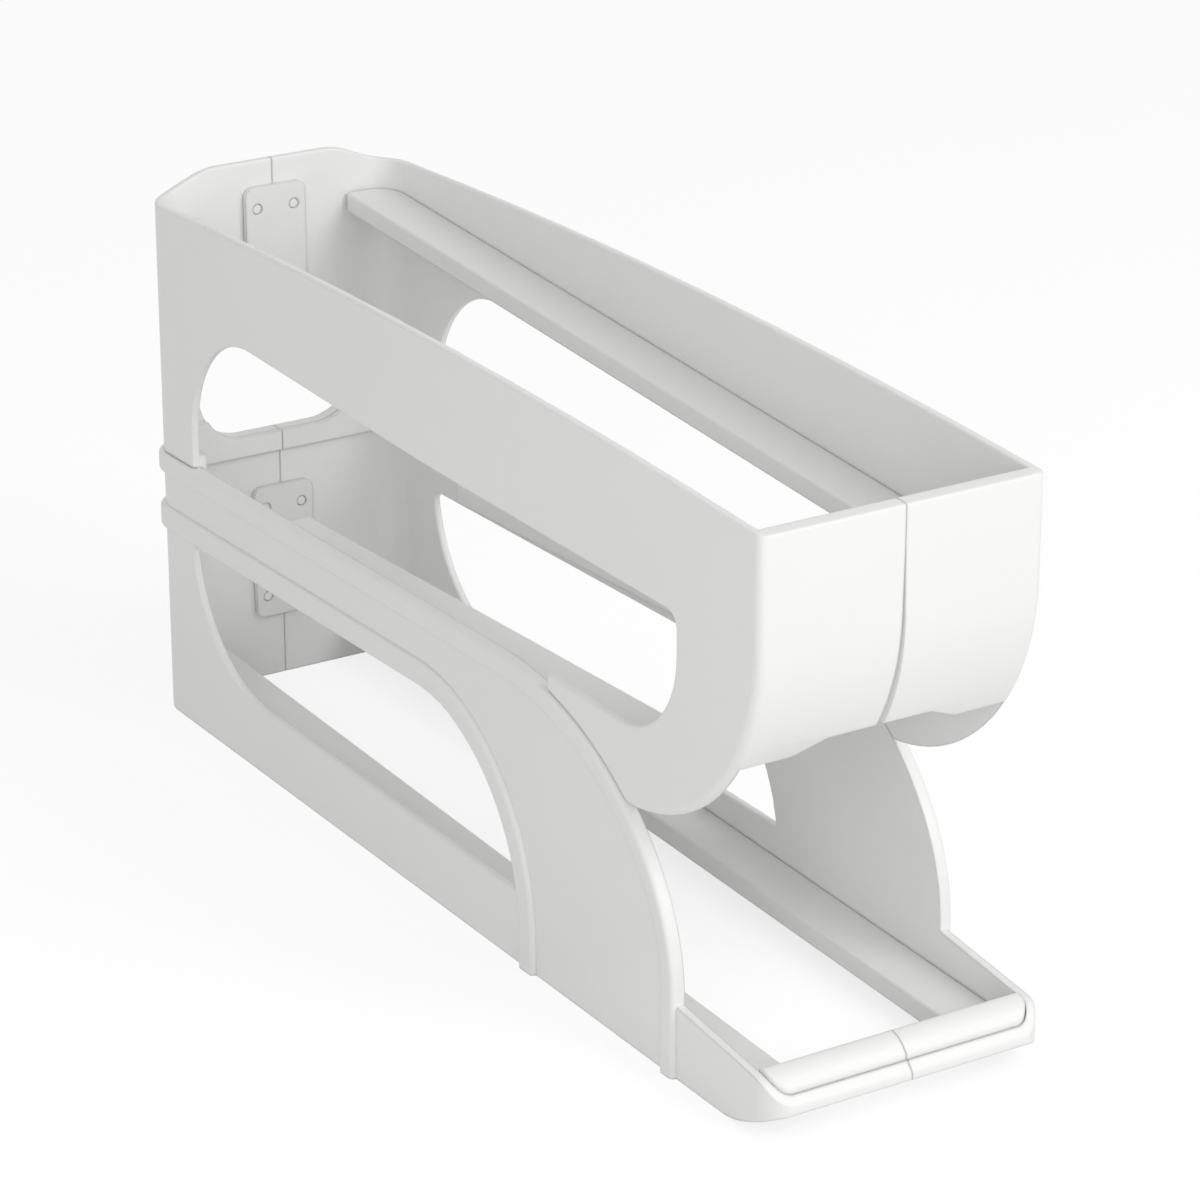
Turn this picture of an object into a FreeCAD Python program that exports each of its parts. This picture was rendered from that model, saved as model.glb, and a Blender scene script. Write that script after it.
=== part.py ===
import FreeCAD
import Part
import math
import os

# Overall sizes, in millimetres
LENGTH = 302.4            # front of the tray to the ribs on the back wall
WIDTH = 76.0              # over the flat side panels
WALL = 2.2                # side and back panels
SEAM = 0.16               # gap between the two halves
BACK_RADIUS = 11.0        # plan radius of the back corners
TRAY_REACH = 8.0          # tray in front of the nose

# Ribs on the base panels
RIB_HEIGHT = 1.4
EDGE_RIB = 5.5            # width of the rib along the top edge and the arch
WINDOW_RIB = 6.5          # width of the rib round the window
RIB_ROUND = 1.2

# Base panel, distances along the object counted from the nose front
TOP_BACK_Z = 74.0         # top edge at the back wall
TOP_SLOPE = 1.4           # degrees, the top edge rises to the front
ARCH_FRONT = 31.5         # upright edge of the arch
ARCH_CROWN = 108.0        # where the arch meets the top edge
ARCH_SPRING_Z = 20.0      # where the arch starts to curve
WINDOW_FRONT = 100.0
WINDOW_HEAD_Z = 57.6      # window's top edge at its front
WINDOW_SLOPE = 1.5        # degrees, the window's top edge falls to the back
WINDOW_ARCH_RADIUS = 47.0
WINDOW_BACK_MARGIN = 23.5  # from the window to the back wall's outer face
WINDOW_BACK_RADIUS = 37.0
WINDOW_CORNER = 4.0
SILL_Z = 18.4             # lower side rail below the window and beside the tray

# Tray and lip
TRAY_FRONT_Z = 14.7       # tray wall's top edge where it turns down to the front
TRAY_ROUND = 7.0          # rounding of that turn
BROW_RUN = 5.5            # length of the slope below it
BROW_RISE = 2.0           # height of the blunt front
BROW_ROUND = 2.0
TOE_Z = 6.8               # lower edge of the blunt front
TOE_ROUND = 1.0
TOE_RUN = 16.0            # length of the underside that rises to the front
TOE_BEND = 24.0           # rounding where the underside starts to rise
FRONT_RADIUS = 7.0        # plan radius of the front corners
LIP_DEPTH = 9.5           # back of the lip roll from the tray's front
LIP_PROUD = 0.8           # lip roll above the tray's wall
LIP_BACK_ROUND = 1.2
SHELF_Z = 9.6             # shelf that carries the lip roll
SHELF = 2.0               # thickness of the shelf
SHELF_DEPTH = 12.0

# Upper panel
RIM_FRONT_Z = 143.6
RIM_CROWN_Z = 147.0
RIM_CROWN = 125.0         # where the side rim is highest
RIM_BACK_Z = 143.0
BACK_RISE = 5.0           # back wall above the side rim
BACK_RISE_START = 6.5     # the rise starts this far in from the side
BACK_RISE_RUN = 12.0      # width of the rise
RISE_ROUND = 20.0
NOSE_RADIUS = 58.0
NOSE_BOTTOM_Z = 60.0
NOSE_WALL = 2.6
NOSE_CORNER = 2.4         # rounding of the nose's upright corners
NOSE_EDGE_Z = 85.0        # lower edge of the nose wall
NOTCH_RISE = 3.6
NOTCH_WIDTH = 28.0
NOTCH_SHOULDER = 8.0
NOTCH_ROUND = 5.0
RIM_BEAD_DEPTH = 1.8      # thicker rim inside the nose
RIM_BEAD_HEIGHT = 5.0
SEAM_OPEN = 2.0           # seam at the lower edge of the nose
SEAM_START_Z = 134.0      # the seam is closed above this height
SLOT_FRONT = 33.0
SLOT_HEAD_Z = 114.6
SLOT_BEND = 145.0         # the slot's top edge rises behind this point
SLOT_BACK_Z = 117.5
SLOT_BACK_MARGIN = 25.5
SLOT_BACK_RADIUS = 33.0
SLOT_BEND_RADIUS = 1500.0
SLOT_FRONT_RADIUS = 4.0
SLOT_FOOT_Z = 80.4        # bottom of the slot at its front
SLOT_FOOT_RADIUS = 24.0
TONGUE_END = 88.0         # tip of the panel under the slot
TIP_RADIUS = 1.0
BACK_WINDOW_HALF = 24.0   # half width of the opening in the back walls
BACK_WINDOW_FOOT_Z = 71.5
BACK_WINDOW_HEAD_Z = 98.5
BACK_WINDOW_RADIUS = 13.0

# Where the upper deck stands on the base
STACK_GAP = 0.3
SOCKET_CLEAR = 0.3
SKIRT_WALL = 1.6          # inner skirt at the back that drops into the base
SKIRT_DROP = 8.0
SKIRT_HOLD = 4.0

# Rails that the eggs roll on
RAIL = 2.4
RAIL_REACH = 16.0         # rail's inner edge from the panel's outer face
RAIL_GAP = 0.3
RAIL_LIP = 2.6
RAIL_LIP_WALL = 2.0
RAIL_ROUND = 0.8
TOP_RAIL_FRONT = 50.0
TOP_RAIL_FRONT_Z = 121.8
TOP_RAIL_SLOPE = 3.15     # degrees, falls to the front
MIDDLE_RAIL_FRONT = 46.0
MIDDLE_RAIL_FRONT_Z = 77.2
MIDDLE_RAIL_SLOPE = -2.4  # degrees, falls to the back
BACK_DROP = 58.0          # opening behind the middle rails
BOTTOM_RAIL_FRONT_Z = 8.2
BOTTOM_RAIL_SLOPE = 1.3   # degrees, falls to the front
RAIL_END_GAP = 1.0        # rail's back end from the back wall
CLEAT_DEPTH = 5.0         # moulded ledge that carries a rail
CLEAT_HEIGHT = 3.0
RAIL_STUDS = 3
RAIL_STUD_INSET = 14.0

# Joiners and studs
STUD = 2.6
STUD_CLEAR = 0.15
STUD_SPREAD = 5.5         # studs on either side of the seam
STUD_END = 0.2            # stud's end below the joiner's face
JOINER = 1.6
JOINER_HALF = 9.0
JOINER_GAP = 0.1
JOINER_MARGIN = 6.0       # from a stud to the joiner's end
LIP_STUD = 3.0

# Where the studs stand on the front and back walls
BACK_STUD_MARGIN = 8.0    # upper back wall's studs from its edges
LOW_STUD_Z = 24.0         # lower back wall's lower studs
LOW_STUD_MARGIN = 16.0    # its upper studs below the socket

# Edge roundings
EDGE_ROUND = 0.6          # rims, slots, windows and the nose's lower edge
SHARP_ANGLE = math.radians(20.0)

# Places worked out from the sizes above
HALF = WIDTH / 2.0
INNER = HALF - WALL
FRONT = -LENGTH / 2.0
BACK = LENGTH / 2.0 - RIB_HEIGHT
NOSE = FRONT + TRAY_REACH
SHELF_BACK = FRONT + SHELF_DEPTH
ARCH_Y = NOSE + ARCH_FRONT
CROWN_Y = NOSE + ARCH_CROWN
WINDOW_Y = NOSE + WINDOW_FRONT
WINDOW_BACK = BACK - WINDOW_BACK_MARGIN
SLOT_Y = NOSE + SLOT_FRONT
SLOT_BACK = BACK - SLOT_BACK_MARGIN
RAIL_OUTER = INNER - RAIL_GAP
RAIL_INNER = HALF - RAIL_REACH
STUD_HOLE = STUD + 2.0 * STUD_CLEAR
LIP_HOLE = LIP_STUD + 2.0 * STUD_CLEAR
SEAM_HALF = SEAM / 2.0
PAST = 20.0               # how far a cutting body runs past what it cuts
HIGH = RIM_CROWN_Z + BACK_RISE + PAST
TOLERANCE = 1e-3


def top_edge(y):
    """Height of the base panel's straight top edge."""
    return TOP_BACK_Z + (BACK - y) * math.tan(math.radians(TOP_SLOPE))


def window_head(y):
    """Height of the window's straight top edge."""
    return WINDOW_HEAD_Z - (y - WINDOW_Y) * math.tan(math.radians(WINDOW_SLOPE))


def side_point(y, z):
    return FreeCAD.Vector(0.0, y, z)


def plan_point(x, y):
    return FreeCAD.Vector(x, y, 0.0)


def front_point(x, z):
    return FreeCAD.Vector(x, 0.0, z)


def rounded_edges(corners, place):
    """Edges of a closed outline whose corners are given as (u, v, radius)."""
    edges = []
    ends = []
    count = len(corners)
    for index in range(count):
        here = place(*corners[index][:2])
        before = place(*corners[index - 1][:2])
        after = place(*corners[(index + 1) % count][:2])
        radius = corners[index][2]
        if radius <= 0.0:
            ends.append((here, here))
            continue
        to_before = (before - here).normalize()
        to_after = (after - here).normalize()
        half_angle = to_before.getAngle(to_after) / 2.0
        run = radius / math.tan(half_angle)
        middle = (to_before + to_after).normalize()
        reach = radius / math.sin(half_angle) - radius
        start = here + to_before * run
        end = here + to_after * run
        edges.append(Part.Arc(start, here + middle * reach, end).toShape())
        ends.append((start, end))
    for index in range(count):
        leave = ends[index][1]
        arrive = ends[(index + 1) % count][0]
        if (arrive - leave).Length > TOLERANCE:
            edges.append(Part.makeLine(leave, arrive))
    return edges


def closed_face(edges):
    return Part.Face(Part.Wire(Part.__sortEdges__(edges)))


def side_prism(corners, x_from, x_to):
    """Solid with the given side outline, from one width to another."""
    face = closed_face(rounded_edges(corners, side_point))
    face.translate(FreeCAD.Vector(x_from, 0.0, 0.0))
    return face.extrude(FreeCAD.Vector(x_to - x_from, 0.0, 0.0))


def plan_prism(corners, z_from, z_to):
    face = closed_face(rounded_edges(corners, plan_point))
    face.translate(FreeCAD.Vector(0.0, 0.0, z_from))
    return face.extrude(FreeCAD.Vector(0.0, 0.0, z_to - z_from))


def front_prism(corners, y_from, y_to):
    face = closed_face(rounded_edges(corners, front_point))
    face.translate(FreeCAD.Vector(0.0, y_from, 0.0))
    return face.extrude(FreeCAD.Vector(0.0, y_to - y_from, 0.0))


def block(x_from, x_to, y_from, y_to, z_from, z_to):
    corner = FreeCAD.Vector(x_from, y_from, z_from)
    return Part.makeBox(x_to - x_from, y_to - y_from, z_to - z_from, corner)


def pin(diameter, start, end):
    return Part.makeCylinder(diameter / 2.0, (end - start).Length, start, end - start)


def right_hand(shape):
    """The same piece for the other side of the seam."""
    return shape.mirror(FreeCAD.Vector(0.0, 0.0, 0.0), FreeCAD.Vector(1.0, 0.0, 0.0))


def plan_block(grow, front, front_radius, z_from, z_to, x_seam):
    """Left half of the plan outline, grown or shrunk, as an upright block."""
    side = -HALF - grow
    back_radius = BACK_RADIUS + grow
    corners = [
        (side, front, front_radius),
        (side, BACK + grow, back_radius),
        (x_seam, BACK + grow, 0.0),
        (x_seam, front, 0.0),
    ]
    return plan_prism(corners, z_from, z_to)


def arch_region(inset, x_from, x_to):
    """Everything under the base panel's top edge and arch, moved in by the inset."""
    past = BACK + PAST
    spring = side_point(ARCH_Y + inset, ARCH_SPRING_Z)
    crown = side_point(CROWN_Y, top_edge(CROWN_Y) - inset)
    centre = side_point(CROWN_Y, ARCH_SPRING_Z)
    depth = CROWN_Y - spring.y
    rise = crown.z - ARCH_SPRING_Z
    if depth >= rise:
        ellipse = Part.Ellipse(spring, crown, centre)
    else:
        ellipse = Part.Ellipse(crown, spring, centre)
    corners = [
        crown,
        side_point(past, top_edge(past) - inset),
        side_point(past, 0.0),
        side_point(ARCH_Y + inset, 0.0),
        spring,
    ]
    edges = [ellipse.toShape(0.0, math.pi / 2.0)]
    for start, end in zip(corners, corners[1:]):
        edges.append(Part.makeLine(start, end))
    face = closed_face(edges)
    face.translate(FreeCAD.Vector(x_from, 0.0, 0.0))
    return face.extrude(FreeCAD.Vector(x_to - x_from, 0.0, 0.0))


def window_region(grow, back, x_from, x_to):
    """Everything under the window's head and behind its front edge."""
    front = WINDOW_Y - grow
    corners = [
        (front, -PAST, 0.0),
        (front, window_head(front) + grow, WINDOW_ARCH_RADIUS + grow),
        (back, window_head(back) + grow, 0.0),
        (back, -PAST, 0.0),
    ]
    return side_prism(corners, x_from, x_to)


def window_opening(x_from, x_to):
    front = WINDOW_Y - PAST
    head = WINDOW_HEAD_Z + PAST
    above_sill = side_prism([
        (front, SILL_Z, 0.0),
        (front, head, 0.0),
        (WINDOW_BACK, head, 0.0),
        (WINDOW_BACK, SILL_Z, WINDOW_BACK_RADIUS),
    ], x_from, x_to)
    under_head = side_prism([
        (WINDOW_Y, -PAST, 0.0),
        (WINDOW_Y, window_head(WINDOW_Y), WINDOW_ARCH_RADIUS),
        (WINDOW_BACK, window_head(WINDOW_BACK), WINDOW_CORNER),
        (WINDOW_BACK, -PAST, 0.0),
    ], x_from, x_to)
    return above_sill.common(under_head)


def outside_distance(point):
    """How far a point stands outside the flat panels and the back corner."""
    corner_x = -HALF + BACK_RADIUS
    corner_y = BACK - BACK_RADIUS
    if point.x < corner_x and point.y > corner_y:
        return math.hypot(point.x - corner_x, point.y - corner_y) - BACK_RADIUS
    return max(-HALF - point.x, point.y - BACK)


def edge_points(edge):
    first, last = edge.ParameterRange
    steps = 4
    return [edge.valueAt(first + (last - first) * step / steps) for step in range(steps + 1)]


def middle_of(edge):
    first, last = edge.ParameterRange
    return edge.valueAt((first + last) / 2.0)


def sharp_edges(shape):
    """Edges where two faces meet at a clear angle, apart from those on the seam."""
    chosen = []
    for edge in shape.Edges:
        faces = shape.ancestorsOfType(edge, Part.Face)
        at_seam = all(p.x > -SEAM_OPEN for p in edge_points(edge))
        if at_seam or len(faces) != 2:
            continue
        middle = middle_of(edge)
        normals = [face.normalAt(*face.Surface.parameter(middle)) for face in faces]
        if normals[0].getAngle(normals[1]) > SHARP_ANGLE:
            chosen.append(edge)
    return chosen


def on_panel_face(point):
    """True on the outer or the inner face of the left side panel."""
    return abs(point.x + HALF) < TOLERANCE or abs(point.x + INNER) < TOLERANCE


def outer_edges(shape, distance):
    """Edges that lie on the outer face, apart from those on the seam and the floor."""
    chosen = []
    for edge in shape.Edges:
        points = edge_points(edge)
        outside = all(abs(outside_distance(p) - distance) < TOLERANCE for p in points)
        at_seam = all(p.x > -SEAM_HALF - TOLERANCE for p in points)
        at_floor = all(p.z < TOLERANCE for p in points)
        if outside and not at_seam and not at_floor:
            chosen.append(edge)
    return chosen


def base_rib(region):
    """Rounded rib on the outside of the base, where the region is."""
    outside = plan_block(RIB_HEIGHT, FRONT, 0.0, 0.0, TOP_BACK_Z + PAST, -SEAM_HALF)
    inside = plan_block(-WALL / 2.0, FRONT - PAST, 0.0, -PAST, TOP_BACK_Z + 2.0 * PAST, PAST)
    rib = outside.cut(inside).common(region)
    return rib.makeFillet(RIB_ROUND, outer_edges(rib, RIB_HEIGHT))


def rail_height(rail, y):
    """Height of a rail's rolling face."""
    front, _, front_z, slope = rail
    return front_z + (y - front) * math.tan(math.radians(slope))


def rail_band(rail, above, below, x_from, x_to):
    """Solid that follows a rail, from one height under its rolling face to another."""
    front, back = rail[:2]
    corners = [
        (front, rail_height(rail, front) - above, 0.0),
        (back, rail_height(rail, back) - above, 0.0),
        (back, rail_height(rail, back) - below, 0.0),
        (front, rail_height(rail, front) - below, 0.0),
    ]
    return side_prism(corners, x_from, x_to)


def rail_stud_places(first, last):
    start = first + RAIL_STUD_INSET
    step = (last - first - 2.0 * RAIL_STUD_INSET) / (RAIL_STUDS - 1)
    return [start + step * index for index in range(RAIL_STUDS)]


def rail_pins(rail, first, diameter, depth):
    """Upright pins along a rail, from inside the rail down to the given depth."""
    x = -INNER + CLEAT_DEPTH / 2.0
    pins = []
    for y in rail_stud_places(first, rail[1]):
        top = rail_height(rail, y) - RAIL / 2.0
        bottom = rail_height(rail, y) - depth
        pins.append(pin(diameter, FreeCAD.Vector(x, y, bottom), FreeCAD.Vector(x, y, top)))
    return pins


TOP_RAIL = (NOSE + TOP_RAIL_FRONT, BACK - WALL - RAIL_END_GAP, TOP_RAIL_FRONT_Z, TOP_RAIL_SLOPE)
MIDDLE_RAIL = (NOSE + MIDDLE_RAIL_FRONT, BACK - WALL - BACK_DROP, MIDDLE_RAIL_FRONT_Z, MIDDLE_RAIL_SLOPE)
BOTTOM_RAIL = (SHELF_BACK + RAIL_GAP, BACK - WALL - RAIL_END_GAP, BOTTOM_RAIL_FRONT_Z, BOTTOM_RAIL_SLOPE)


def make_rail(rail, first_stud):
    """Left rail: a rolling ledge with a turned-down inner edge and studs for its cleat."""
    plate = rail_band(rail, 0.0, RAIL, -RAIL_OUTER, -RAIL_INNER)
    lip = rail_band(rail, 0.0, RAIL + RAIL_LIP, -RAIL_INNER - RAIL_LIP_WALL, -RAIL_INNER)
    room = plan_block(-WALL - RAIL_GAP, rail[0] - PAST, 0.0, 0.0, HIGH, 0.0)
    body = plate.fuse(lip).removeSplitter().common(room)
    top_inner = []
    for edge in body.Edges:
        points = edge_points(edge)
        at_inner = all(abs(p.x + RAIL_INNER) < TOLERANCE for p in points)
        on_top = all(abs(p.z - rail_height(rail, p.y)) < TOLERANCE for p in points)
        if at_inner and on_top:
            top_inner.append(edge)
    body = body.makeFillet(RAIL_ROUND, top_inner)
    near_bottom = RAIL + CLEAT_HEIGHT - STUD_END
    return body.fuse(rail_pins(rail, first_stud, STUD, near_bottom)).removeSplitter()


def make_cleat(rail, first_stud):
    """Moulded ledge under a rail, with holes for the rail's studs."""
    front = max(rail[0], first_stud)
    cleat_line = (front, rail[1], rail_height(rail, front), rail[3])
    cleat = rail_band(cleat_line, RAIL, RAIL + CLEAT_HEIGHT, -HALF, -INNER + CLEAT_DEPTH)
    cleat = cleat.common(plan_block(-WALL / 2.0, front - PAST, 0.0, 0.0, HIGH, 0.0))
    deep = RAIL + CLEAT_HEIGHT + STUD
    return cleat.cut(Part.makeCompound(rail_pins(rail, first_stud, STUD_HOLE, deep)))


def wall_studs(places, inner_y, outward):
    """Studs on the inside of a front or back wall, left of the seam."""
    length = JOINER_GAP + JOINER - STUD_END
    studs = []
    for z in places:
        root = FreeCAD.Vector(-STUD_SPREAD, inner_y - outward * WALL / 2.0, z)
        tip = FreeCAD.Vector(-STUD_SPREAD, inner_y + outward * length, z)
        studs.append(pin(STUD, root, tip))
    return studs


def joiner_holes(places, inner_y, outward):
    holes = []
    for x in (-STUD_SPREAD, STUD_SPREAD):
        for z in places:
            start = FreeCAD.Vector(x, inner_y - outward * JOINER, z)
            end = FreeCAD.Vector(x, inner_y + outward * (JOINER_GAP + 2.0 * JOINER), z)
            holes.append(pin(STUD_HOLE, start, end))
    return Part.makeCompound(holes)


def flat_joiner(places, inner_y, outward):
    """Strip across the seam on the inside of a front or back wall."""
    near = inner_y + outward * JOINER_GAP
    far = near + outward * JOINER
    foot = places[0] - JOINER_MARGIN
    head = places[-1] + JOINER_MARGIN
    strip = block(-JOINER_HALF, JOINER_HALF, min(near, far), max(near, far), foot, head)
    corners = []
    for edge in strip.Edges:
        ends = edge_points(edge)
        if abs(ends[0].y - ends[-1].y) > TOLERANCE:
            corners.append(edge)
    strip = strip.makeFillet(STUD, corners)
    return strip.cut(joiner_holes(places, inner_y, outward))


NOSE_STUDS_Z = (RIM_FRONT_Z - RIM_BEAD_HEIGHT - RAIL_GAP - JOINER_MARGIN,)
UPPER_BACK_STUDS_Z = (BACK_WINDOW_HEAD_Z + BACK_STUD_MARGIN, RIM_BACK_Z - BACK_STUD_MARGIN)
LOWER_BACK_STUDS_Z = (LOW_STUD_Z, TOP_BACK_Z - SKIRT_DROP - LOW_STUD_MARGIN)


def nose_solid(depth, x_from, x_to):
    """Everything behind the nose's face and above its curl, moved in by the depth."""
    far = BACK + PAST + depth
    return side_prism([
        (NOSE + depth, HIGH + depth, 0.0),
        (NOSE + depth, NOSE_BOTTOM_Z + depth, NOSE_RADIUS - depth),
        (far, NOSE_BOTTOM_Z + depth, 0.0),
        (far, HIGH + depth, 0.0),
    ], x_from, x_to)


def nose_mouth():
    """What is open below the nose wall: straight edge with a shallow arched notch."""
    inner = NOTCH_WIDTH / 2.0
    outer = inner + NOTCH_SHOULDER
    corners = [
        (-INNER, NOSE_BOTTOM_Z - PAST, 0.0),
        (-INNER, NOSE_EDGE_Z, 0.0),
        (-outer, NOSE_EDGE_Z, NOTCH_ROUND),
        (-inner, NOSE_EDGE_Z + NOTCH_RISE, NOTCH_ROUND),
        (inner, NOSE_EDGE_Z + NOTCH_RISE, NOTCH_ROUND),
        (outer, NOSE_EDGE_Z, NOTCH_ROUND),
        (INNER, NOSE_EDGE_Z, 0.0),
        (INNER, NOSE_BOTTOM_Z - PAST, 0.0),
    ]
    return front_prism(corners, NOSE - PAST, BACK - BACK_RADIUS)


def back_window():
    """Rounded opening in the upper back wall, its skirt and the base's top edge."""
    return front_prism([
        (-BACK_WINDOW_HALF, BACK_WINDOW_FOOT_Z, BACK_WINDOW_RADIUS),
        (-BACK_WINDOW_HALF, BACK_WINDOW_HEAD_Z, BACK_WINDOW_RADIUS),
        (BACK_WINDOW_HALF, BACK_WINDOW_HEAD_Z, BACK_WINDOW_RADIUS),
        (BACK_WINDOW_HALF, BACK_WINDOW_FOOT_Z, BACK_WINDOW_RADIUS),
    ], BACK - BACK_RADIUS, BACK + PAST)


def seam_wedge():
    """The seam opens towards the lower edge of the nose."""
    low = NOSE_EDGE_Z - PAST
    fall = (SEAM_START_Z - low) / (SEAM_START_Z - NOSE_EDGE_Z)
    reach = SEAM_HALF + (SEAM_OPEN - SEAM) / 2.0 * fall
    corners = [
        (0.0, SEAM_START_Z, 0.0),
        (-SEAM_HALF, SEAM_START_Z, 0.0),
        (-reach, low, 0.0),
        (0.0, low, 0.0),
    ]
    return front_prism(corners, NOSE - PAST, NOSE + NOSE_RADIUS)


def rim_outline(x_from, x_to):
    """Everything under the crowned side rim and the raised back rim."""
    front = side_point(NOSE - PAST, RIM_FRONT_Z)
    crown_from = side_point(NOSE, RIM_FRONT_Z)
    crown = side_point(NOSE + RIM_CROWN, RIM_CROWN_Z)
    crown_to = side_point(BACK - BACK_RADIUS, RIM_BACK_Z)
    far_top = side_point(BACK + PAST, RIM_BACK_Z)
    far_floor = side_point(BACK + PAST, 0.0)
    near_floor = side_point(NOSE - PAST, 0.0)
    under = closed_face([
        Part.Arc(crown_from, crown, crown_to).toShape(),
        Part.makeLine(front, crown_from),
        Part.makeLine(crown_to, far_top),
        Part.makeLine(far_top, far_floor),
        Part.makeLine(far_floor, near_floor),
        Part.makeLine(near_floor, front),
    ])
    under.translate(FreeCAD.Vector(x_from, 0.0, 0.0))
    body = under.extrude(FreeCAD.Vector(x_to - x_from, 0.0, 0.0))
    rise_foot = -HALF + BACK_RISE_START
    rise_top = rise_foot + BACK_RISE_RUN
    rise = front_prism([
        (x_from, RIM_BACK_Z - PAST, 0.0),
        (x_from, RIM_BACK_Z, 0.0),
        (rise_foot, RIM_BACK_Z, RISE_ROUND),
        (rise_top, RIM_BACK_Z + BACK_RISE, RISE_ROUND),
        (x_to, RIM_BACK_Z + BACK_RISE, 0.0),
        (x_to, RIM_BACK_Z - PAST, 0.0),
    ], BACK - BACK_RADIUS, BACK + PAST)
    return body.fuse(rise)


def slot_opening(x_from, x_to):
    """Side slot of the upper panel, open downwards behind the panel's tongue."""
    tip = NOSE + TONGUE_END
    floor = NOSE_BOTTOM_Z - PAST
    return side_prism([
        (SLOT_Y, SLOT_FOOT_Z, SLOT_FOOT_RADIUS),
        (SLOT_Y, SLOT_HEAD_Z, SLOT_FRONT_RADIUS),
        (NOSE + SLOT_BEND, SLOT_HEAD_Z, SLOT_BEND_RADIUS),
        (SLOT_BACK, SLOT_BACK_Z, SLOT_BACK_RADIUS),
        (SLOT_BACK, floor, 0.0),
        (tip, floor, 0.0),
        (tip, SLOT_FOOT_Z, TIP_RADIUS),
    ], x_from, x_to)


def back_skirt():
    """Inner skirt of the upper deck that drops into the base at the back."""
    hold = top_edge(BACK) + SKIRT_HOLD
    foot = top_edge(BACK) - SKIRT_DROP
    deep = -WALL - SOCKET_CLEAR - SKIRT_WALL
    hollow = plan_block(deep, SLOT_BACK - PAST, 0.0, foot - PAST, hold + PAST, PAST)
    upper = plan_block(-WALL / 2.0, SLOT_BACK, 0.0, foot, hold, -SEAM_HALF).cut(hollow)
    upper = upper.cut(arch_region(0.0, -HALF - PAST, PAST))
    lower = plan_block(-WALL - SOCKET_CLEAR, SLOT_BACK, 0.0, foot, hold, -SEAM_HALF).cut(hollow)
    return upper.fuse(lower)


def upper_edges(shell, foot):
    """Edges of the rim, the slot and the nose's lower edge, apart from the foot."""
    half_length = (SLOT_BACK - SLOT_Y) / 2.0
    chosen = []
    for edge in sharp_edges(shell):
        middle = middle_of(edge)
        at_foot = all(foot.distToShape(Part.Vertex(p))[0] < TOLERANCE for p in edge_points(edge))
        at_rim = middle.z > RIM_FRONT_Z - EDGE_ROUND
        in_slot = abs(middle.y - SLOT_Y - half_length) < half_length + EDGE_ROUND
        at_slot = in_slot and middle.z < SLOT_BACK_Z + EDGE_ROUND and on_panel_face(middle)
        at_mouth = middle.z < NOSE_EDGE_Z + NOTCH_RISE + EDGE_ROUND and middle.x > -INNER + EDGE_ROUND
        if (at_rim or at_slot or at_mouth) and not at_foot:
            chosen.append(edge)
    return chosen


def upper_left_shell():
    left = -HALF - PAST
    outside = plan_block(0.0, NOSE, 0.0, 0.0, HIGH, -SEAM_HALF).common(nose_solid(0.0, left, PAST))
    corner = []
    for edge in outside.Edges:
        middle = middle_of(edge)
        at_front = middle.y < NOSE + NOSE_RADIUS - EDGE_ROUND and middle.z < HIGH - EDGE_ROUND
        if abs(middle.x + HALF) < TOLERANCE and at_front:
            corner.append(edge)
    outside = outside.makeFillet(NOSE_CORNER, corner)
    hollow = plan_block(-WALL, NOSE - PAST, 0.0, -PAST, HIGH + PAST, PAST)
    shell = outside.cut(hollow.common(nose_solid(NOSE_WALL, left, 2.0 * PAST)))
    bead = nose_solid(NOSE_WALL / 2.0, -HALF + WALL / 2.0, -SEAM_HALF)
    bead = bead.cut(nose_solid(NOSE_WALL + RIM_BEAD_DEPTH, left, PAST))
    bead = bead.common(block(left, 0.0, NOSE, 0.0, RIM_FRONT_Z - RIM_BEAD_HEIGHT, HIGH))
    shell = shell.fuse(bead).removeSplitter().common(rim_outline(left, PAST))
    foot = arch_region(-STACK_GAP, left, PAST)
    shell = shell.cut(nose_mouth()).cut(seam_wedge()).cut(foot).cut(slot_opening(left, -INNER + WALL))
    shell = shell.makeFillet(EDGE_ROUND, upper_edges(shell, foot))
    studs = wall_studs(NOSE_STUDS_Z, NOSE + NOSE_WALL, 1.0)
    studs += wall_studs(UPPER_BACK_STUDS_Z, BACK - WALL, -1.0)
    parts = [make_cleat(TOP_RAIL, TOP_RAIL[0]), back_skirt()] + studs
    return shell.fuse(parts).cut(back_window()).removeSplitter()


def window_edges(wall):
    """Edges of the window, inside and outside."""
    half_length = (WINDOW_BACK - WINDOW_Y) / 2.0
    chosen = []
    for edge in sharp_edges(wall):
        middle = middle_of(edge)
        in_length = abs(middle.y - WINDOW_Y - half_length) < half_length + EDGE_ROUND
        in_height = SILL_Z - EDGE_ROUND < middle.z < WINDOW_HEAD_Z + EDGE_ROUND
        if in_length and in_height and on_panel_face(middle):
            chosen.append(edge)
    return chosen


def tray_outline(lift, x_from, x_to):
    """Side view of the tray with its rounded front, raised at the top."""
    brow = TOE_Z + BROW_RISE + lift
    return side_prism([
        (ARCH_Y + PAST, 0.0, 0.0),
        (FRONT + TOE_RUN, 0.0, TOE_BEND),
        (FRONT, TOE_Z, TOE_ROUND),
        (FRONT, brow, BROW_ROUND),
        (FRONT + BROW_RUN, TRAY_FRONT_Z + lift, TRAY_ROUND),
        (ARCH_Y, SILL_Z + lift, 0.0),
        (ARCH_Y + PAST, SILL_Z + lift, 0.0),
    ], x_from, x_to)


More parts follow.
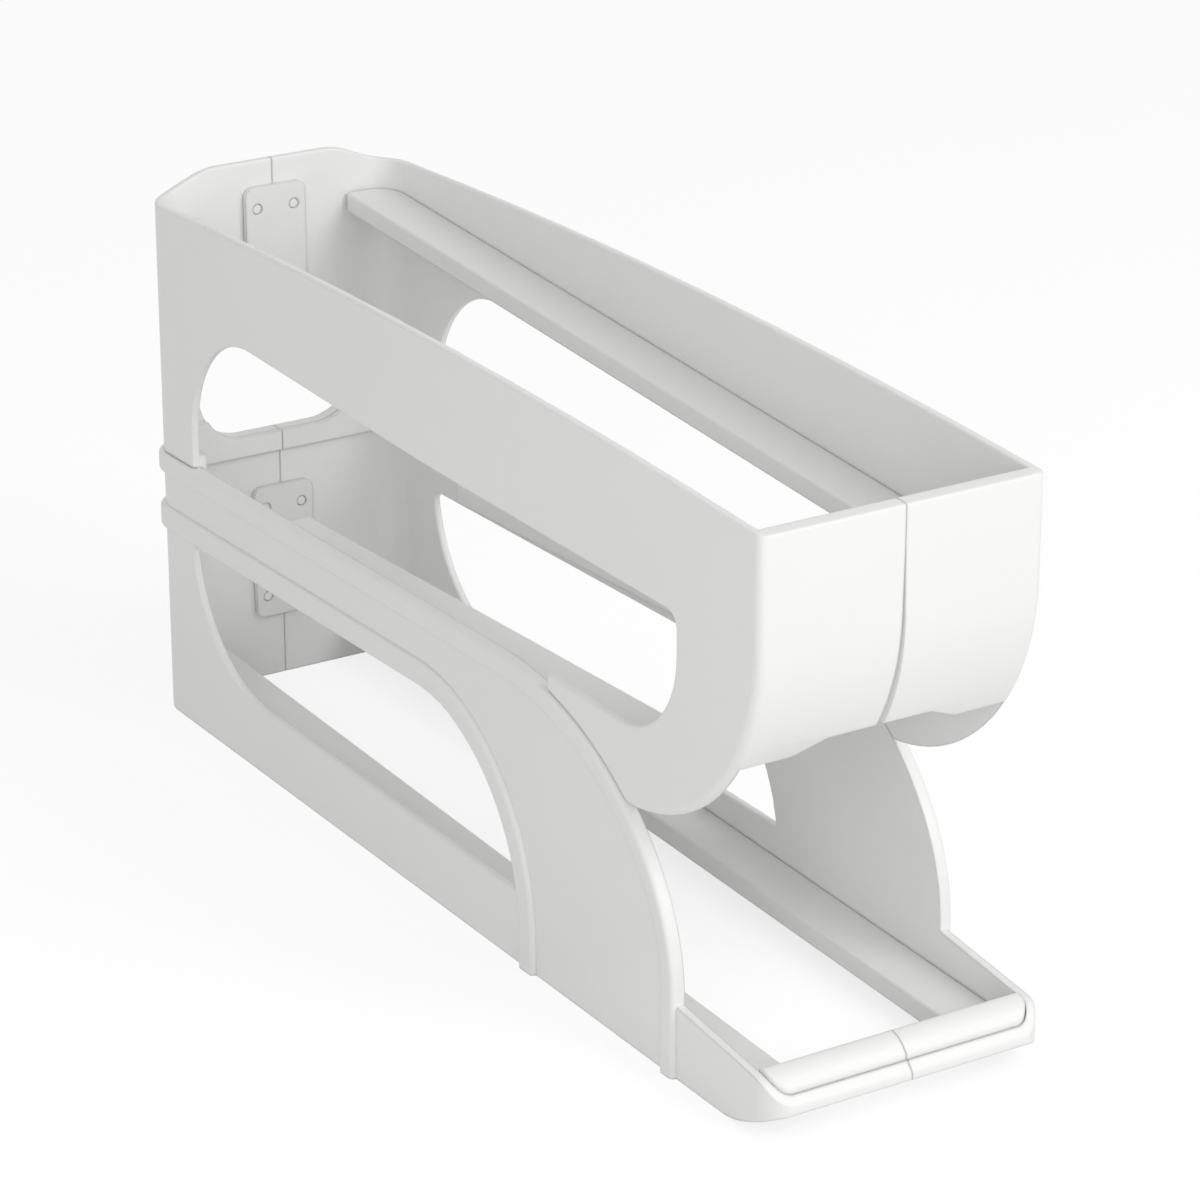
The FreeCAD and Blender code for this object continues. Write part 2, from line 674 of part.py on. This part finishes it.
def lower_left_shell():
    left = -HALF - PAST
    wall = plan_block(0.0, FRONT, FRONT_RADIUS, 0.0, HIGH, -SEAM_HALF)
    wall = wall.cut(plan_block(-WALL, FRONT + WALL, FRONT_RADIUS - WALL, -PAST, HIGH + PAST, PAST))
    wall = wall.common(arch_region(0.0, left, PAST).fuse(tray_outline(0.0, left, PAST)))
    wall = wall.cut(window_opening(left, -INNER + WALL)).removeSplitter()
    wall = wall.makeFillet(EDGE_ROUND, window_edges(wall))
    edge_rib = base_rib(arch_region(0.0, left, PAST).cut(arch_region(EDGE_RIB, left - PAST, 2.0 * PAST)))
    far = BACK + PAST
    around = window_region(WINDOW_RIB, far, left, PAST)
    around = around.cut(window_region(0.0, far + PAST, left - PAST, 2.0 * PAST))
    window_rib = base_rib(around.common(arch_region(EDGE_RIB, left, PAST)))
    deep = WALL / 2.0
    shelf = plan_block(-deep, FRONT + deep, FRONT_RADIUS - deep, SHELF_Z - SHELF, SHELF_Z, -SEAM_HALF)
    shelf = shelf.common(block(left, PAST, FRONT, SHELF_BACK, 0.0, HIGH))
    cleats = [make_cleat(MIDDLE_RAIL, CROWN_Y), make_cleat(BOTTOM_RAIL, BOTTOM_RAIL[0])]
    studs = wall_studs(LOWER_BACK_STUDS_Z, BACK - WALL, -1.0)
    shell = wall.fuse([edge_rib, window_rib, shelf] + cleats + studs + tray_studs()).cut(back_window())
    return shell.cut(Part.makeCompound(lip_pins(LIP_HOLE, SHELF + STUD))).removeSplitter()


def lip_pins(diameter, depth):
    """Upright pins that hold the left lip roll on the shelf."""
    y = (FRONT + WALL + FRONT + LIP_DEPTH) / 2.0
    far = -HALF + FRONT_RADIUS + LIP_STUD
    near = -JOINER_HALF - JOINER_MARGIN
    pins = []
    for x in (far, near):
        low = FreeCAD.Vector(x, y, SHELF_Z - depth)
        high = FreeCAD.Vector(x, y, SHELF_Z + LIP_STUD)
        pins.append(pin(diameter, low, high))
    return pins


def left_lip_roll():
    deep = -WALL - RAIL_GAP
    back = FRONT + LIP_DEPTH
    roll = plan_block(deep, FRONT - deep, FRONT_RADIUS + deep, SHELF_Z, HIGH, -SEAM_HALF)
    roll = roll.common(tray_outline(LIP_PROUD, -HALF - PAST, PAST))
    roll = roll.common(block(-HALF, 0.0, FRONT, back, 0.0, HIGH))
    top_back = []
    for edge in roll.Edges:
        points = edge_points(edge)
        at_back = all(abs(p.y - back) < TOLERANCE for p in points)
        if at_back and all(p.z > TRAY_FRONT_Z for p in points):
            top_back.append(edge)
    roll = roll.makeFillet(LIP_BACK_ROUND, top_back)
    return roll.fuse(lip_pins(LIP_STUD, SHELF - STUD_END)).removeSplitter()


def tray_studs():
    """Stud under the shelf, left of the seam."""
    y = FRONT + WALL + (SHELF_DEPTH - WALL) / 2.0
    root = FreeCAD.Vector(-STUD_SPREAD, y, SHELF_Z - SHELF / 2.0)
    tip = FreeCAD.Vector(-STUD_SPREAD, y, SHELF_Z - SHELF - JOINER_GAP - JOINER + STUD_END)
    return [pin(STUD, tip, root)]


def tray_joiner():
    top = SHELF_Z - SHELF - JOINER_GAP
    front = FRONT + WALL + RAIL_GAP
    strip = block(-JOINER_HALF, JOINER_HALF, front, SHELF_BACK - RAIL_GAP, top - JOINER, top)
    y = FRONT + WALL + (SHELF_DEPTH - WALL) / 2.0
    holes = []
    for x in (-STUD_SPREAD, STUD_SPREAD):
        low = FreeCAD.Vector(x, y, top - 2.0 * JOINER)
        high = FreeCAD.Vector(x, y, top + JOINER)
        holes.append(pin(STUD_HOLE, low, high))
    return strip.cut(Part.makeCompound(holes))


def main():
    os.makedirs("parts", exist_ok=True)
    left_pieces = {
        "upper_left_shell": upper_left_shell(),
        "lower_left_shell": lower_left_shell(),
        "top_left_rail": make_rail(TOP_RAIL, TOP_RAIL[0]),
        "middle_left_rail": make_rail(MIDDLE_RAIL, CROWN_Y),
        "bottom_left_rail": make_rail(BOTTOM_RAIL, BOTTOM_RAIL[0]),
        "left_lip_roll": left_lip_roll(),
    }
    pieces = {
        "nose_joiner": flat_joiner(NOSE_STUDS_Z, NOSE + NOSE_WALL, 1.0),
        "upper_back_joiner": flat_joiner(UPPER_BACK_STUDS_Z, BACK - WALL, -1.0),
        "lower_back_joiner": flat_joiner(LOWER_BACK_STUDS_Z, BACK - WALL, -1.0),
        "tray_joiner": tray_joiner(),
    }
    for name, shape in left_pieces.items():
        pieces[name] = shape
        pieces[name.replace("left", "right")] = right_hand(shape)
    for name, shape in pieces.items():
        shape.exportStep("parts/" + name + ".step")
        print(name, len(shape.Solids), "solid", round(shape.Volume, 1), shape.isValid())


main()
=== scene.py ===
import math

import bpy
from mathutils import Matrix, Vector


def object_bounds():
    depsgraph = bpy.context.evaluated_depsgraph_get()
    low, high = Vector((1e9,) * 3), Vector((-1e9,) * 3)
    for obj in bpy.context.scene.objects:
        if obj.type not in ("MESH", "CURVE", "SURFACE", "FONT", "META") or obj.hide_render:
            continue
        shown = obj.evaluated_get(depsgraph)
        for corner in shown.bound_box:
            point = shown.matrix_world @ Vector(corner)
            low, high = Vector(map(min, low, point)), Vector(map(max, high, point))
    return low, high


bl_info = {
    "name": "Rolling egg dispenser",
    "version": (1, 0, 0),
    "blender": (4, 5, 0),
    "location": "3D View > Sidebar > Dispenser",
    "description": "Dresses the rolling egg dispenser and sets its studio stage",
    "category": "Object",
}

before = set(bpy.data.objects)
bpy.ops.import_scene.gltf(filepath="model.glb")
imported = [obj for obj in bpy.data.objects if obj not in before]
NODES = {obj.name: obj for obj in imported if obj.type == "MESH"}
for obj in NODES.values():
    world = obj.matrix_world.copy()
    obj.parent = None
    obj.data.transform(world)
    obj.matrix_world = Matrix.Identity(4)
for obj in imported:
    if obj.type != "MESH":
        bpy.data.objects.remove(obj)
CAD_BOX = [list(corner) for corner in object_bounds()]

SHELLS = ("upper_left_shell", "upper_right_shell", "lower_left_shell", "lower_right_shell")
RAILS = ("top_left_rail", "top_right_rail", "middle_left_rail", "middle_right_rail",
         "bottom_left_rail", "bottom_right_rail")
LIP_ROLLS = ("left_lip_roll", "right_lip_roll")
JOINERS = ("nose_joiner", "upper_back_joiner", "lower_back_joiner", "tray_joiner")

# Flow marks of the mould, which drift the colour
FLOW = {"Scale": 14.0, "Detail": 3.0, "Roughness": 0.55}
FLOW_SPAN = (0.3, 0.7)
COLOUR_DRIFT = (0.985, 1.0)
FULL_TINT = 1.0

# Fine grain and broad patches, which drift the roughness
GRAIN = {"Detail": 2.0, "Roughness": 0.5}
GRAIN_SPAN = (0.0, 1.0)
GRAIN_DRIFT = (-0.03, 0.03)
SHEEN = {"Scale": 42.0, "Detail": 4.0}
SHEEN_SPAN = (0.25, 0.75)
SHEEN_DRIFT = (-0.05, 0.05)

# Moulded plastic
PLASTIC_IOR = 1.49
BEVEL_SAMPLES = 6
GRAIN_BUMP = {"Strength": 0.12, "Distance": 0.00012}
MERGE_DISTANCE = 1e-6     # joins the loose triangles of a CAD mesh

# Stage
WHITE = (1.0, 1.0, 1.0, 1.0)
WHITE_STRENGTH = 1.0
SENSOR_WIDTH = 36.0       # millimetres
CLIP_START = 0.01

NODE_STEP = 200           # nodes stand side by side in the editor


class DispenserFinish(bpy.types.PropertyGroup):
    """Colours and surface sizes of the moulded pieces."""

    shell_colour: bpy.props.FloatVectorProperty(
        name="Shell colour", description="Moulded white of the side shells",
        subtype="COLOR", size=3, min=0.0, max=1.0, default=(0.862, 0.862, 0.852))
    rail_colour: bpy.props.FloatVectorProperty(
        name="Rail colour", description="White of the rolling rails",
        subtype="COLOR", size=3, min=0.0, max=1.0, default=(0.845, 0.843, 0.832))
    lip_colour: bpy.props.FloatVectorProperty(
        name="Lip colour", description="White of the lip roll on the tray",
        subtype="COLOR", size=3, min=0.0, max=1.0, default=(0.872, 0.872, 0.864))
    joiner_colour: bpy.props.FloatVectorProperty(
        name="Joiner colour", description="White of the plates behind the seam",
        subtype="COLOR", size=3, min=0.0, max=1.0, default=(0.82, 0.818, 0.806))
    roughness: bpy.props.FloatProperty(
        name="Roughness", description="Satin finish of the mould", subtype="FACTOR",
        min=0.0, max=1.0, default=0.40)
    edge_softness: bpy.props.FloatProperty(
        name="Edge softness", description="Radius of the moulded edges' highlight", unit="LENGTH",
        min=0.0, max=0.002, default=0.0010)
    grain_size: bpy.props.FloatProperty(
        name="Grain size", description="Size of the mould's fine grain", unit="LENGTH",
        min=0.0001, max=0.005, default=0.0009)
    smooth_angle: bpy.props.FloatProperty(
        name="Smooth angle", description="Faces that meet below this angle shade as one", subtype="ANGLE",
        min=0.0, max=math.pi, default=math.radians(24.0))


class DispenserStage(bpy.types.PropertyGroup):
    """Floor, lamps and camera."""

    floor_size: bpy.props.FloatProperty(
        name="Floor size", description="Width of the floor", unit="LENGTH", min=1.0, default=9.0)
    floor_colour: bpy.props.FloatVectorProperty(
        name="Floor colour", description="Pale floor", subtype="COLOR", size=3, min=0.0, max=1.0,
        default=(0.80, 0.80, 0.80))
    floor_lift: bpy.props.FloatProperty(
        name="Floor lift", description="How far the floor is lifted to white for the camera", subtype="FACTOR",
        min=0.0, max=1.0, default=0.76)
    shadow_depth: bpy.props.FloatProperty(
        name="Shadow depth", description="How strongly the lifted floor shows the shadow", min=0.0, default=1.6)
    sky_level: bpy.props.FloatProperty(
        name="Sky level", description="Strength of the even light all round", min=0.0, default=0.565)
    key_power: bpy.props.FloatProperty(
        name="Key lamp", description="Power of the large lamp at the front right", min=0.0, default=6.8)
    key_size: bpy.props.FloatProperty(
        name="Key lamp size", description="Width of the large lamp", unit="LENGTH", min=0.01, default=0.8)
    key_place: bpy.props.FloatVectorProperty(
        name="Key lamp place", description="Where the large lamp stands", subtype="TRANSLATION", size=3,
        default=(0.45, -1.05, 0.85))
    fill_power: bpy.props.FloatProperty(
        name="Fill lamp", description="Power of the weak lamp at the front left", min=0.0, default=3.3)
    fill_size: bpy.props.FloatProperty(
        name="Fill lamp size", description="Width of the weak lamp", unit="LENGTH", min=0.01, default=0.8)
    fill_place: bpy.props.FloatVectorProperty(
        name="Fill lamp place", description="Where the weak lamp stands", subtype="TRANSLATION", size=3,
        default=(-0.78, -0.92, 0.40))
    camera_place: bpy.props.FloatVectorProperty(
        name="Camera place", description="Where the camera stands", subtype="TRANSLATION", size=3,
        default=(-0.5456, -0.8938, 0.4963))
    camera_turn: bpy.props.FloatVectorProperty(
        name="Camera turn", description="Camera's tilt, roll and turn", subtype="EULER", size=3,
        default=(math.radians(67.94), 0.0, math.radians(-31.91)))
    camera_lens: bpy.props.FloatProperty(
        name="Lens", description="Focal length in millimetres", min=10.0, default=137.4)


def new_node(tree, kind, sockets=None, **settings):
    """Adds a node beside the last one, with its settings and socket values."""
    node = tree.nodes.new(kind)
    node.location.x = NODE_STEP * len(tree.nodes)
    for name, value in settings.items():
        setattr(node, name, value)
    for name, value in (sockets or {}).items():
        node.inputs[name].default_value = value
    return node


def opaque(colour):
    """Colour with full alpha, as a shader socket takes it."""
    return (*colour, 1.0)


def new_sockets(group, direction, **kinds):
    """Names the sockets on one side of a node group."""
    for name, kind in kinds.items():
        group.interface.new_socket(name.replace("_", " "), in_out=direction, socket_type="NodeSocket" + kind)


def noise_on(group, place, sockets):
    """Noise that keeps its place on the piece."""
    noise = new_node(group, "ShaderNodeTexNoise", sockets)
    group.links.new(place.outputs["Object"], noise.inputs["Vector"])
    return noise


def drift_of(group, noise, span, drift):
    """Maps a noise from the span it fills to the drift it causes."""
    spread = new_node(group, "ShaderNodeMapRange", {
        "From Min": span[0], "From Max": span[1], "To Min": drift[0], "To Max": drift[1]})
    group.links.new(noise.outputs["Fac"], spread.inputs["Value"])
    return spread.outputs["Result"]


def sum_of(group, first, second):
    """Adds two socket values."""
    total = new_node(group, "ShaderNodeMath", operation="ADD")
    group.links.new(first, total.inputs[0])
    group.links.new(second, total.inputs[1])
    return total.outputs[0]


def moulded_grain_group():
    """Colour drift, roughness drift and fine grain of moulded plastic."""
    name = "moulded_grain"
    group = bpy.data.node_groups.get(name)
    if group:
        return group
    group = bpy.data.node_groups.new(name, "ShaderNodeTree")
    new_sockets(group, "INPUT", Colour="Color", Roughness="Float", Grain_Scale="Float")
    new_sockets(group, "OUTPUT", Colour="Color", Roughness="Float", Height="Float")
    inside = new_node(group, "NodeGroupInput")
    outside = new_node(group, "NodeGroupOutput")
    place = new_node(group, "ShaderNodeTexCoord")
    link = group.links.new

    flow = noise_on(group, place, FLOW)
    tint = new_node(group, "ShaderNodeMix", {"Factor": FULL_TINT}, data_type="RGBA", blend_type="MULTIPLY")
    link(inside.outputs["Colour"], tint.inputs["A"])
    link(drift_of(group, flow, FLOW_SPAN, COLOUR_DRIFT), tint.inputs["B"])
    link(tint.outputs["Result"], outside.inputs["Colour"])

    grain = noise_on(group, place, GRAIN)
    link(inside.outputs["Grain Scale"], grain.inputs["Scale"])
    link(grain.outputs["Fac"], outside.inputs["Height"])

    sheen = noise_on(group, place, SHEEN)
    patches = drift_of(group, sheen, SHEEN_SPAN, SHEEN_DRIFT)
    specks = drift_of(group, grain, GRAIN_SPAN, GRAIN_DRIFT)
    finish = sum_of(group, inside.outputs["Roughness"], sum_of(group, patches, specks))
    link(finish, outside.inputs["Roughness"])
    return group


def bare_material(name):
    """Material with an output and nothing else."""
    material = bpy.data.materials.new(name)
    material.use_nodes = True
    material.node_tree.nodes.clear()
    return material, new_node(material.node_tree, "ShaderNodeOutputMaterial")


def moulded_white(name, colour, finish):
    """Satin moulded plastic with softened edges."""
    material, output = bare_material(name)
    tree = material.node_tree
    link = tree.links.new
    plastic = new_node(tree, "ShaderNodeBsdfPrincipled", {"IOR": PLASTIC_IOR})
    link(plastic.outputs["BSDF"], output.inputs["Surface"])
    grain = new_node(tree, "ShaderNodeGroup", {
        "Colour": opaque(colour), "Roughness": finish.roughness, "Grain Scale": 1.0 / finish.grain_size,
    }, node_tree=moulded_grain_group())
    link(grain.outputs["Colour"], plastic.inputs["Base Color"])
    link(grain.outputs["Roughness"], plastic.inputs["Roughness"])
    soft = new_node(tree, "ShaderNodeBevel", {"Radius": finish.edge_softness}, samples=BEVEL_SAMPLES)
    bump = new_node(tree, "ShaderNodeBump", GRAIN_BUMP)
    link(grain.outputs["Height"], bump.inputs["Height"])
    link(soft.outputs["Normal"], bump.inputs["Normal"])
    link(bump.outputs["Normal"], plastic.inputs["Normal"])
    return material


def smooth_faces_group():
    """Joins loose faces and shades shallow angles as one surface."""
    name = "smooth_moulded_faces"
    group = bpy.data.node_groups.get(name)
    if group:
        return group
    group = bpy.data.node_groups.new(name, "GeometryNodeTree")
    new_sockets(group, "INPUT", Geometry="Geometry", Angle="Float")
    new_sockets(group, "OUTPUT", Geometry="Geometry")
    inside = new_node(group, "NodeGroupInput")
    outside = new_node(group, "NodeGroupOutput")
    merge = new_node(group, "GeometryNodeMergeByDistance", {"Distance": MERGE_DISTANCE})
    angle = new_node(group, "GeometryNodeInputMeshEdgeAngle")
    sharp = new_node(group, "FunctionNodeCompare", data_type="FLOAT", operation="GREATER_THAN")
    faces = new_node(group, "GeometryNodeSetShadeSmooth", {"Shade Smooth": True}, domain="FACE")
    edges = new_node(group, "GeometryNodeSetShadeSmooth", {"Shade Smooth": False}, domain="EDGE")
    link = group.links.new
    link(inside.outputs["Geometry"], merge.inputs["Geometry"])
    link(merge.outputs["Geometry"], faces.inputs[0])
    link(faces.outputs[0], edges.inputs[0])
    link(angle.outputs["Unsigned Angle"], sharp.inputs["A"])
    link(inside.outputs["Angle"], sharp.inputs["B"])
    link(sharp.outputs["Result"], edges.inputs["Selection"])
    link(edges.outputs[0], outside.inputs["Geometry"])
    return group


def dress(names, material, finish):
    """Gives CAD nodes their material and smooth shading."""
    group = smooth_faces_group()
    for name in names:
        piece = NODES[name]
        piece.data.materials.clear()
        piece.data.materials.append(material)
        smooth = piece.modifiers.new("smooth_faces", "NODES")
        smooth.node_group = group
        for item in group.interface.items_tree:
            if item.item_type == "SOCKET" and item.in_out == "INPUT" and item.name == "Angle":
                smooth[item.identifier] = finish.smooth_angle


class DISPENSER_OT_shells(bpy.types.Operator):
    """Dress the four side shells"""
    bl_idname = "dispenser.shells"
    bl_label = "Shells"

    def execute(self, context):
        finish = context.scene.dispenser_finish
        dress(SHELLS, moulded_white("shell_plastic", finish.shell_colour, finish), finish)
        return {"FINISHED"}


class DISPENSER_OT_rails(bpy.types.Operator):
    """Dress the rolling rails"""
    bl_idname = "dispenser.rails"
    bl_label = "Rails"

    def execute(self, context):
        finish = context.scene.dispenser_finish
        dress(RAILS, moulded_white("rail_plastic", finish.rail_colour, finish), finish)
        return {"FINISHED"}


class DISPENSER_OT_lip_rolls(bpy.types.Operator):
    """Dress the lip rolls at the front of the tray"""
    bl_idname = "dispenser.lip_rolls"
    bl_label = "Lip rolls"

    def execute(self, context):
        finish = context.scene.dispenser_finish
        dress(LIP_ROLLS, moulded_white("lip_plastic", finish.lip_colour, finish), finish)
        return {"FINISHED"}


class DISPENSER_OT_joiners(bpy.types.Operator):
    """Dress the plates that join the halves"""
    bl_idname = "dispenser.joiners"
    bl_label = "Joiners"

    def execute(self, context):
        finish = context.scene.dispenser_finish
        dress(JOINERS, moulded_white("joiner_plastic", finish.joiner_colour, finish), finish)
        return {"FINISHED"}


def camera_choice(tree, for_others, for_camera, output):
    """Shows one shader to the camera, in reflections too, and another to all other light."""
    path = new_node(tree, "ShaderNodeLightPath")
    mix = new_node(tree, "ShaderNodeMixShader")
    link = tree.links.new
    seen = path.outputs["Is Camera Ray"]
    for ray in ("Is Glossy Ray", "Is Transmission Ray"):
        either = new_node(tree, "ShaderNodeMath", operation="MAXIMUM")
        link(seen, either.inputs[0])
        link(path.outputs[ray], either.inputs[1])
        seen = either.outputs[0]
    link(seen, mix.inputs[0])
    link(for_others.outputs[0], mix.inputs[1])
    link(for_camera.outputs[0], mix.inputs[2])
    link(mix.outputs[0], output.inputs["Surface"])


def white_sky(level):
    """Even light all round, white to the camera."""
    world = bpy.data.worlds.new("studio_sky")
    bpy.context.scene.world = world
    world.use_nodes = True
    tree = world.node_tree
    tree.nodes.clear()
    output = new_node(tree, "ShaderNodeOutputWorld")
    even = new_node(tree, "ShaderNodeBackground", {"Color": WHITE, "Strength": level})
    seen = new_node(tree, "ShaderNodeBackground", {"Color": WHITE, "Strength": WHITE_STRENGTH})
    camera_choice(tree, even, seen, output)


def floor_white(colour, lift, depth):
    """Pale floor that the camera sees as white, with the object's shadow kept."""
    material, output = bare_material("floor_white")
    tree = material.node_tree
    pale = new_node(tree, "ShaderNodeBsdfDiffuse", {"Color": opaque(colour)})
    shadow_colour = [c * (1.0 - lift) * depth for c in colour]
    faint = new_node(tree, "ShaderNodeBsdfDiffuse", {"Color": opaque(shadow_colour)})
    glow = new_node(tree, "ShaderNodeEmission", {"Strength": lift})
    lifted = new_node(tree, "ShaderNodeAddShader")
    tree.links.new(faint.outputs[0], lifted.inputs[0])
    tree.links.new(glow.outputs[0], lifted.inputs[1])
    camera_choice(tree, pale, lifted, output)
    return material


def soft_lamp(name, place, power, size):
    """Square lamp that looks at the middle of the dispenser."""
    bpy.ops.object.light_add(type="AREA", location=place)
    lamp = bpy.context.object
    lamp.name = name
    lamp.data.energy = power
    lamp.data.size = size
    aim = lamp.location.copy()
    for axis in range(3):
        aim[axis] -= (CAD_BOX[0][axis] + CAD_BOX[1][axis]) / 2.0
    lamp.rotation_euler = aim.to_track_quat("Z", "Y").to_euler()


class DISPENSER_OT_stage(bpy.types.Operator):
    """Floor, sky, lamps and camera"""
    bl_idname = "dispenser.stage"
    bl_label = "Stage"

    def execute(self, context):
        stage = context.scene.dispenser_stage
        context.scene.view_settings.view_transform = "Standard"
        bpy.ops.object.select_all(action="DESELECT")
        bpy.ops.mesh.primitive_plane_add(size=stage.floor_size, location=(0.0, 0.0, CAD_BOX[0][2]))
        floor = context.object
        floor.name = "floor"
        floor.data.materials.append(floor_white(stage.floor_colour, stage.floor_lift, stage.shadow_depth))
        white_sky(stage.sky_level)
        soft_lamp("key_lamp", stage.key_place, stage.key_power, stage.key_size)
        soft_lamp("fill_lamp", stage.fill_place, stage.fill_power, stage.fill_size)
        bpy.ops.object.camera_add(location=stage.camera_place, rotation=stage.camera_turn)
        camera = context.object
        camera.name = "photo_camera"
        camera.data.lens = stage.camera_lens
        camera.data.sensor_width = SENSOR_WIDTH
        camera.data.clip_start = CLIP_START
        context.scene.camera = camera
        return {"FINISHED"}


class DISPENSER_PT_panel(bpy.types.Panel):
    """Steps that dress the dispenser"""
    bl_idname = "DISPENSER_PT_panel"
    bl_label = "Egg dispenser"
    bl_space_type = "VIEW_3D"
    bl_region_type = "UI"
    bl_category = "Dispenser"

    def draw(self, context):
        layout = self.layout
        for step in STEPS:
            layout.operator(step.bl_idname)
        for group in (context.scene.dispenser_finish, context.scene.dispenser_stage):
            box = layout.box()
            for name in group.__annotations__:
                box.prop(group, name)


STEPS = (DISPENSER_OT_shells, DISPENSER_OT_rails, DISPENSER_OT_lip_rolls, DISPENSER_OT_joiners, DISPENSER_OT_stage)
CLASSES = (DispenserFinish, DispenserStage) + STEPS + (DISPENSER_PT_panel,)


def register():
    for item in CLASSES:
        bpy.utils.register_class(item)
    bpy.types.Scene.dispenser_finish = bpy.props.PointerProperty(type=DispenserFinish)
    bpy.types.Scene.dispenser_stage = bpy.props.PointerProperty(type=DispenserStage)


def unregister():
    del bpy.types.Scene.dispenser_stage
    del bpy.types.Scene.dispenser_finish
    for item in reversed(CLASSES):
        bpy.utils.unregister_class(item)


def main():
    register()
    bpy.ops.dispenser.shells()
    bpy.ops.dispenser.rails()
    bpy.ops.dispenser.lip_rolls()
    bpy.ops.dispenser.joiners()
    bpy.ops.dispenser.stage()


if __name__ == "__main__":
    main()
